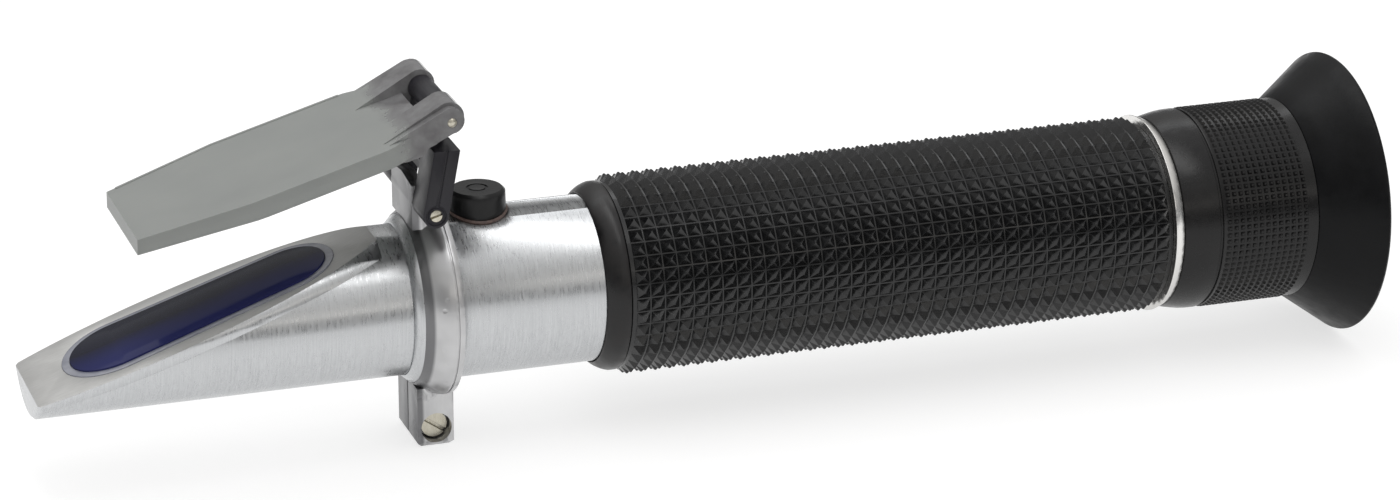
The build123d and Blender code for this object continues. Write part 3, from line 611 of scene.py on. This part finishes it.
def stacked(name, rings):
    """Closed solid through rings of equally many points, with both of its ends capped."""
    count = len(rings[0])
    last = (len(rings) - 1) * count
    faces = [tuple(range(count)), tuple(range(last, last + count))]
    for low in range(0, last, count):
        for side in range(count):
            turn = (side + 1) % count
            faces.append((low + side, low + turn, low + count + turn, low + count + side))
    solid = new_object(name, [point * MM for ring in rings for point in ring], faces)
    outward = bmesh.new()
    outward.from_mesh(solid.data)
    bmesh.ops.recalc_face_normals(outward, faces=outward.faces)
    outward.to_mesh(solid.data)
    outward.free()
    return solid


def combine(base, tool, operation):
    """Joins a solid to the base or cuts it away, and removes the tool."""
    step = base.modifiers.new("step", "BOOLEAN")
    step.operation = operation
    step.object = tool
    step.solver = "EXACT"
    graph = bpy.context.evaluated_depsgraph_get()
    mesh = bpy.data.meshes.new_from_object(base.evaluated_get(graph))
    base.modifiers.clear()
    base.data = mesh
    bpy.data.objects.remove(tool)


def finish_solid(solid, material, width):
    """Shades a solid, rounds its edges and gives it a material."""
    smooth(solid)
    round_edges(solid, width)
    solid.data.materials.clear()
    solid.data.materials.append(material)


def arc(u, n, radius, start, end, steps=14):
    """Points on a circle, from one angle in degrees to another."""
    angles = [math.radians(start + (end - start) * i / steps) for i in range(steps + 1)]
    return [(u + radius * math.cos(a), n + radius * math.sin(a)) for a in angles]


# Turned rings with pyramids

KNURL_SHARP_ABOVE = math.radians(24)


def knurled(name, before, after, start, end, rows, count, base, peak, land, crown):
    """Turned ring whose band from start to end carries rows of small square pyramids.

    The profile's (place, radius) points before and after the band run on around the whole
    section. There are count pyramids around the ring, between the radii base and peak, with
    land as the gap between two of them and crown as the width of their flat tops.
    """
    verts = []
    faces = []
    pitch = (end - start) / rows
    turn = 2 * math.pi / count
    land_turn = land / base
    crown_turn = crown / peak

    def point(x, radius, angle):
        verts.append((x * MM, radius * math.sin(angle) * MM, radius * math.cos(angle) * MM))
        return len(verts) - 1

    angles = []
    for column in range(count):
        angles.append(column * turn + land_turn / 2)
        angles.append((column + 1) * turn - land_turn / 2)
    stations = []
    for row in range(rows):
        stations.append(start + row * pitch + land / 2)
        stations.append(start + (row + 1) * pitch - land / 2)
    profile = before + [(x, base) for x in stations] + after
    rings = [[point(x, radius, angle) for angle in angles] for x, radius in profile]

    for i, low in enumerate(rings):
        high = rings[(i + 1) % len(rings)]
        station = i - len(before)
        in_row = 0 <= station < len(stations) and station % 2 == 0
        for j in range(len(angles)):
            k = (j + 1) % len(angles)
            foot = (low[j], high[j], high[k], low[k])
            if not (in_row and j % 2 == 0):
                faces.append(foot)
                continue
            x = (stations[station] + stations[station + 1]) / 2
            angle = (angles[j] + angles[k]) / 2
            top = [
                point(x + along * crown / 2, peak, angle + around * crown_turn / 2)
                for along, around in SQUARE
            ]
            faces.append(top)
            for m in range(4):
                n = (m + 1) % 4
                faces.append((foot[m], foot[n], top[n], top[m]))

    ring = new_object(name, verts, faces)
    ring.data.validate()
    smooth(ring, KNURL_SHARP_ABOVE)
    return ring


# Grip sleeve

TUBE_OUTER = 12.2
GRIP_FRONT = -107.08
GRIP_REAR = -23.22
GRIP_EDGE = 0.1
GRIP_MARGIN = 0.58
GRIP_BASE = 13.6


def make_grip(material):
    """Rubber sleeve with rows of pyramids."""
    grip = knurled(
        "grip_pyramids",
        before=[
            (GRIP_FRONT, TUBE_OUTER),
            (GRIP_FRONT, GRIP_BASE - GRIP_EDGE),
            (GRIP_FRONT + GRIP_EDGE, GRIP_BASE),
        ],
        after=[
            (GRIP_REAR - GRIP_EDGE, GRIP_BASE),
            (GRIP_REAR, GRIP_BASE - GRIP_EDGE),
            (GRIP_REAR, TUBE_OUTER),
        ],
        start=GRIP_FRONT + GRIP_MARGIN,
        end=GRIP_REAR - GRIP_MARGIN,
        rows=38,
        count=42,
        base=GRIP_BASE,
        peak=14.62,
        land=0.20,
        crown=0.16,
    )
    grip.data.materials.append(material)
    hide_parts("grip_sleeve")
    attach(grip, "root")


# Focus ring

FOCUS_FRONT = -21.6
FOCUS_REAR = -0.3
FOCUS_BORE = 12.48

# Swelling front of the ring: distance behind its front face, and radius
FOCUS_SWELL = [(0.0, 14.1), (0.1, 14.25), (1.0, 14.53), (2.1, 14.77), (3.2, 14.97), (4.1, 15.05)]

GROOVE_FRONT = FOCUS_FRONT + 5.4
GROOVE_REAR = GROOVE_FRONT + 0.5
GROOVE_FLOOR = 14.77
FLANGE_REAR = -6.05
FLANGE_FRONT = FLANGE_REAR - 1.5
FLANGE_BORE = 9.5
REAR_BORE = 12.08


def make_focus_ring(material):
    """Focus ring with a groove near its front and a fine moulded grid."""
    swell = [(FOCUS_FRONT + behind, radius) for behind, radius in FOCUS_SWELL]
    groove = [
        (GROOVE_FRONT - 0.08, 15.07),
        (GROOVE_FRONT, 14.99),
        (GROOVE_FRONT, GROOVE_FLOOR),
        (GROOVE_REAR, GROOVE_FLOOR),
        (GROOVE_REAR, 14.95),
        (GROOVE_REAR + 0.1, 15.0),
    ]
    rear = [
        (FOCUS_REAR - 0.1, 15.05),
        (FOCUS_REAR, 14.97),
        (FOCUS_REAR, REAR_BORE),
        (FLANGE_REAR, REAR_BORE),
        (FLANGE_REAR, FLANGE_BORE),
        (FLANGE_FRONT, FLANGE_BORE),
        (FLANGE_FRONT, FOCUS_BORE),
    ]
    ring = knurled(
        "focus_grid",
        before=[(FOCUS_FRONT, FOCUS_BORE)] + swell + groove,
        after=rear,
        start=-15.2,
        end=-1.8,
        rows=13,
        count=92,
        base=14.86,
        peak=15.14,
        land=0.34,
        crown=0.30,
    )
    ring.data.materials.append(material)
    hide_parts("focus_ring")
    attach(ring, "focus")


# Cover plate, in its own frame at its pin: u along the plate, y across it, n above it

PLATE_JOINT = by_name(record["behaviour"]["joints"], "plate_pivot")
PLATE_PIVOT = Vector([value / MM for value in PLATE_JOINT["pos_m"]])
PLATE_ANGLE = math.radians(16)
PLATE_U = Vector((math.cos(PLATE_ANGLE), 0, math.sin(PLATE_ANGLE)))
PLATE_N = Vector((-math.sin(PLATE_ANGLE), 0, math.cos(PLATE_ANGLE)))

PLATE_REACH = 46.5
TIP_U = -47.15
TIP_WIDTH = 10.3
TIP_BOTTOM = -1.9
RISE_LENGTH = 18.5
TAPER_U = -30.15
PLATE_WIDTH = 13.1
PLATE_TOP = 0.24
PLATE_UNDER = -1.26
SKIRT_BOTTOM = -2.5
SKIRT_WALL = 1.2

WAIST_START = -10.5
WAIST_END = -5.8
WAIST_STEPS = 8
NOTCH_U = -2.9

PAD_REAR_U = -10.35
PAD_REAR_RADIUS = 5.1
PAD_FRONT_U = -33.55
PAD_FRONT_RADIUS = 6.0

EAR_INNER = 5.15
EAR_WALL = 10.4
EAR_OUTER = 11.7
EAR_LAP = WAIST_START + 0.3
BOSS_RADIUS = 2.2
BOSS_RISE = 0.45
BOSS_FRONT_U = -6.4
BOSS_FRONT_TOP = 0.2
WALL_RADIUS = 1.87
WALL_RISE = 0.3
WALL_BOTTOM = -3.10
WALL_BELLY = (-7.6, -3.05)
WALL_FRONT_TOP = 0.1
PIN_HOLE = 0.7
HOLE_SIDES = 24

# Underside behind the waist, which clears the hinge link when the plate is thrown far back
HEEL_FRONT_U = -5.2
HEEL_MIDDLE = (-4.35, -2.30)
HEEL_REAR_U = -3.9
HEEL_REAR_N = -2.20
HEEL_END_U = -1.9
HEEL_END_N = -2.0
HEEL_CUT_BOTTOM = -3.0

RIM_HEIGHT = 0.10
RIM_WIDTH = 0.5
RIM_TIP_GAP = 2.0
PLATE_ROUND = 0.05

# Solids that are joined dip this far into each other
DIP = 0.1
WALL_DIP = 0.3

# Small step that keeps faces of two joined solids out of one plane
NUDGE = 0.01

# Solids that cut reach this far beyond what they cut
CUT = 1.0
CUT_TOP = 1.0
CUT_BOTTOM = -5.0
ACROSS = PLATE_WIDTH + CUT


def plate_place(u, y, n):
    """Place of a point that is given in the plate's frame."""
    return PLATE_PIVOT + PLATE_U * u + PLATE_N * n + Vector((0, y, 0))


def plan_solid(name, plan, low, high):
    """Solid with a plan of (u, y) points, between two heights."""
    return stacked(name, [[plate_place(u, y, n) for u, y in plan] for n in (low, high)])


def side_solid(name, outline, start, end):
    """Solid with a side view of (u, n) points, between two places across the plate."""
    ends = sorted((start, end))
    return stacked(name, [[plate_place(u, y, n) for u, n in outline] for y in ends])


def plate_side(inset):
    """One long side of the plan, from the tip to the waist, drawn in by an inset."""
    side = [(TIP_U + inset, TIP_WIDTH - inset), (TAPER_U, PLATE_WIDTH - inset)]
    for step in range(WAIST_STEPS + 1):
        t = step / WAIST_STEPS
        width = PLATE_WIDTH - (PLATE_WIDTH - EAR_OUTER) * (1 - math.cos(math.pi * t)) / 2
        side.append((WAIST_START + (WAIST_END - WAIST_START) * t, width - inset))
    return side


def plate_plan(inset, rear):
    """Whole plan of the plate."""
    side = plate_side(inset) + [(rear, EAR_OUTER - inset)]
    return side + [(u, -y) for u, y in reversed(side)]


def plate_shell():
    """Plate with skirts on its sides and tip, and the cuts that shape them."""
    plate = plan_solid("cover_plate", plate_plan(0, NOTCH_U), SKIRT_BOTTOM, PLATE_TOP)
    hollow = plate_plan(SKIRT_WALL, NOTCH_U + CUT)
    combine(plate, plan_solid("pocket", hollow, SKIRT_BOTTOM - CUT, PLATE_UNDER), "DIFFERENCE")
    rise = [
        (TIP_U - CUT, TIP_BOTTOM),
        (TIP_U + RISE_LENGTH, SKIRT_BOTTOM),
        (TIP_U + RISE_LENGTH, CUT_BOTTOM),
        (TIP_U - CUT, CUT_BOTTOM),
    ]
    rake = [
        (-PLATE_REACH, PLATE_TOP),
        (TIP_U, TIP_BOTTOM),
        (TIP_U - CUT, TIP_BOTTOM),
        (TIP_U - CUT, CUT_TOP),
        (-PLATE_REACH, CUT_TOP),
    ]
    heel = [
        (HEEL_FRONT_U, SKIRT_BOTTOM - DIP),
        HEEL_MIDDLE,
        (HEEL_REAR_U, HEEL_REAR_N),
        (HEEL_END_U, HEEL_END_N),
        (HEEL_END_U, HEEL_CUT_BOTTOM),
        (HEEL_FRONT_U, HEEL_CUT_BOTTOM),
    ]
    for name, outline in (("rise", rise), ("rake", rake), ("heel", heel)):
        combine(plate, side_solid(name, outline, -ACROSS, ACROSS), "DIFFERENCE")
    return plate


def add_pad(plate):
    """Raised pad that presses on the prism."""
    pad = arc(PAD_REAR_U, 0, PAD_REAR_RADIUS, -88, 88)
    pad += arc(PAD_FRONT_U, 0, PAD_FRONT_RADIUS, 92, 268)
    combine(plate, plan_solid("pad", pad, SKIRT_BOTTOM, PLATE_UNDER + DIP), "UNION")


def add_ears(plate):
    """Two rounded ears, each a broad boss with a thinner wall outside it."""
    boss = arc(0, BOSS_RISE, BOSS_RADIUS, 103.6, -95) + [
        (HEEL_REAR_U, HEEL_REAR_N - 2 * NUDGE),
        (HEEL_FRONT_U, SKIRT_BOTTOM + 2 * NUDGE),
        (WAIST_END, SKIRT_BOTTOM + 2 * NUDGE),
        (BOSS_FRONT_U, PLATE_UNDER - 2 * NUDGE),
        (EAR_LAP, PLATE_UNDER - 2 * NUDGE),
        (EAR_LAP, BOSS_FRONT_TOP),
    ]
    wall = arc(0, WALL_RISE, WALL_RADIUS, 102, -100) + [
        (HEEL_REAR_U, HEEL_REAR_N),
        HEEL_MIDDLE,
        (HEEL_FRONT_U, WALL_BOTTOM),
        WALL_BELLY,
        (EAR_LAP, SKIRT_BOTTOM - 3 * NUDGE),
        (EAR_LAP, WALL_FRONT_TOP),
    ]
    for side in (-1, 1):
        combine(plate, side_solid("boss", boss, side * EAR_INNER, side * EAR_WALL), "UNION")
        inner = side * (EAR_WALL - WALL_DIP)
        outer = side * (EAR_OUTER - NUDGE)
        combine(plate, side_solid("wall", wall, inner, outer), "UNION")


def add_rim(plate):
    """Thin raised rim along the far edge, from near the tip to the waist."""
    tip_y = TIP_WIDTH + (PLATE_WIDTH - TIP_WIDTH) * RIM_TIP_GAP / (TAPER_U - TIP_U)
    outer = [(TIP_U + RIM_TIP_GAP, tip_y), (TAPER_U, PLATE_WIDTH), (WAIST_START, PLATE_WIDTH)]
    inner = [(u, y - RIM_WIDTH) for u, y in reversed(outer)]
    rim = plan_solid("rim", outer + inner, PLATE_TOP - DIP, PLATE_TOP + RIM_HEIGHT)
    combine(plate, rim, "UNION")


def make_plate(material):
    """Cover plate with a smooth waist, sharp tip corners and rounded ears."""
    plate = plate_shell()
    add_pad(plate)
    add_ears(plate)
    add_rim(plate)
    hole = arc(0, 0, PIN_HOLE, 0, 360 - 360 / HOLE_SIDES, HOLE_SIDES - 1)
    combine(plate, side_solid("hole", hole, -ACROSS, ACROSS), "DIFFERENCE")
    finish_solid(plate, material, PLATE_ROUND)
    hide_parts("daylight_plate")
    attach(plate, "plate")


# Clamp screw, sunk in its hole

SCREW_PLACE = Vector((-134.1, 0, -18.4))
SCREW_SIDES = 48
SCREW_RADIUS = 1.95
SCREW_TOP = -3.75
SCREW_SEAT = -2.35
SHANK_RADIUS = 1.25
SHANK_END = 4.5
SLOT_WIDTH = 0.55
SLOT_DEPTH = 0.6
SLOT_ANGLE = math.radians(-35)
SCREW_ROUND = 0.08


def screw_ring(y, radius):
    """Points around the screw's axis at a depth."""
    angles = [2 * math.pi * side / SCREW_SIDES for side in range(SCREW_SIDES)]
    return [SCREW_PLACE + Vector((radius * math.cos(a), y, radius * math.sin(a))) for a in angles]


def screw_slot():
    """Bar that cuts the slot across the head."""
    along = Vector((math.cos(SLOT_ANGLE), 0, math.sin(SLOT_ANGLE))) * 2 * SCREW_RADIUS
    across = Vector((-math.sin(SLOT_ANGLE), 0, math.cos(SLOT_ANGLE))) * SLOT_WIDTH / 2
    rings = []
    for y in (SCREW_TOP - CUT, SCREW_TOP + SLOT_DEPTH):
        middle = SCREW_PLACE + Vector((0, y, 0))
        rings.append([middle + along * u + across * v for u, v in SQUARE])
    return stacked("slot", rings)


def make_clamp_screw(material):
    """Slotted screw with its head well below the block's face."""
    head = [screw_ring(SCREW_TOP, SCREW_RADIUS), screw_ring(SCREW_SEAT, SCREW_RADIUS)]
    shank = [screw_ring(SCREW_SEAT, SHANK_RADIUS), screw_ring(SHANK_END, SHANK_RADIUS)]
    screw = stacked("sunk_screw", head + shank)
    combine(screw, screw_slot(), "DIFFERENCE")
    finish_solid(screw, material, SCREW_ROUND)
    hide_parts("clamp_screw")
    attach(screw, "root")


# Studio and object

make_camera()
make_world()
make_floor()
for lamp in LAMPS:
    area_light(*lamp)

materials = make_materials()
for part in record["subparts"]:
    dress(part["node"], materials[part["material_slot"]])
dress_face_plate(materials["satin_aluminium"])
make_plate(materials["frosted_plastic"])
make_clamp_screw(materials["screw_brass"])
make_grip(materials["grip_rubber"])
make_focus_ring(materials["focus_black"])

bpy.context.scene.view_settings.view_transform = "Standard"
